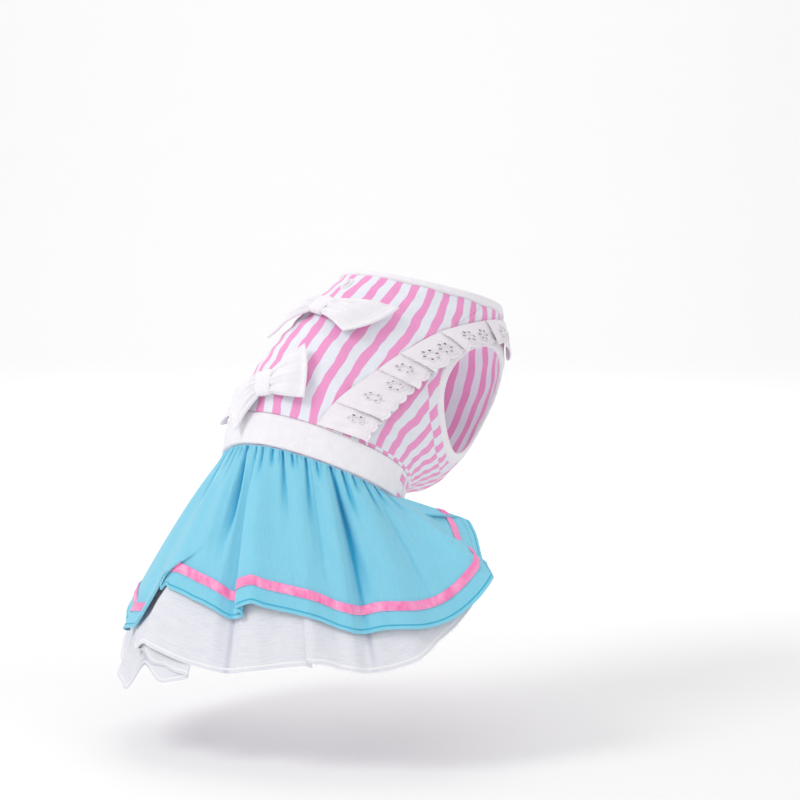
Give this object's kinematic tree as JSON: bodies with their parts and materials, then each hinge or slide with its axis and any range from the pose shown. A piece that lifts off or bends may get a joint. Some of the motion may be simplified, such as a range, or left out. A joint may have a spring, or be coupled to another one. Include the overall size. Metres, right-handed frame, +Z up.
{
  "type": "dog dress",
  "caption": "Worn dress for a small dog: striped bodice with lace ruffles and bows on the back, white waistband, gathered skirt with a satin ribbon over a petticoat.",
  "frame": {"origin": "centre of the back at the top of the waistband, on the inner face, where the dress rests on the wearer's back", "axes": "+Z up, the wearer faces -Y, the wearer's right side is -X; X = 0 is the middle of the back"},
  "size_m": [0.2579, 0.2779, 0.2607],
  "materials": {
    "striped_cotton": "pink and white woven stripes, matte",
    "white_cotton": "plain weave, matte",
    "eyelet_lace": "embroidered cotton eyelet lace",
    "sky_georgette": "fine crepe, matte",
    "pink_satin": "satin",
    "white_voile": "thin plain weave, slightly sheer"
  },
  "bodies": {
    "root": {"bodice_back": "striped_cotton", "bodice_side_right": "striped_cotton", "bodice_side_left": "striped_cotton", "bodice_front": "striped_cotton", "waistband": "white_cotton", "side_strip_right": "striped_cotton", "side_strip_left": "striped_cotton", "side_piping_right": "white_cotton", "side_piping_left": "white_cotton", "belly_panel": "striped_cotton", "belly_piping": "white_cotton", "neck_binding": "white_cotton", "armhole_binding_right": "white_cotton", "armhole_binding_left": "white_cotton", "leash_slot_rim": "white_cotton", "lace_ruffle_right": "eyelet_lace", "lace_ruffle_left": "eyelet_lace", "skirt": "sky_georgette", "skirt_ribbon": "pink_satin", "petticoat": "white_voile", "upper_bow_wing_right": "white_cotton", "upper_bow_wing_left": "white_cotton", "upper_bow_knot": "white_cotton", "lower_bow_wing_right": "white_cotton", "lower_bow_wing_left": "white_cotton", "lower_bow_knot": "white_cotton"}
  },
  "joints": []
}
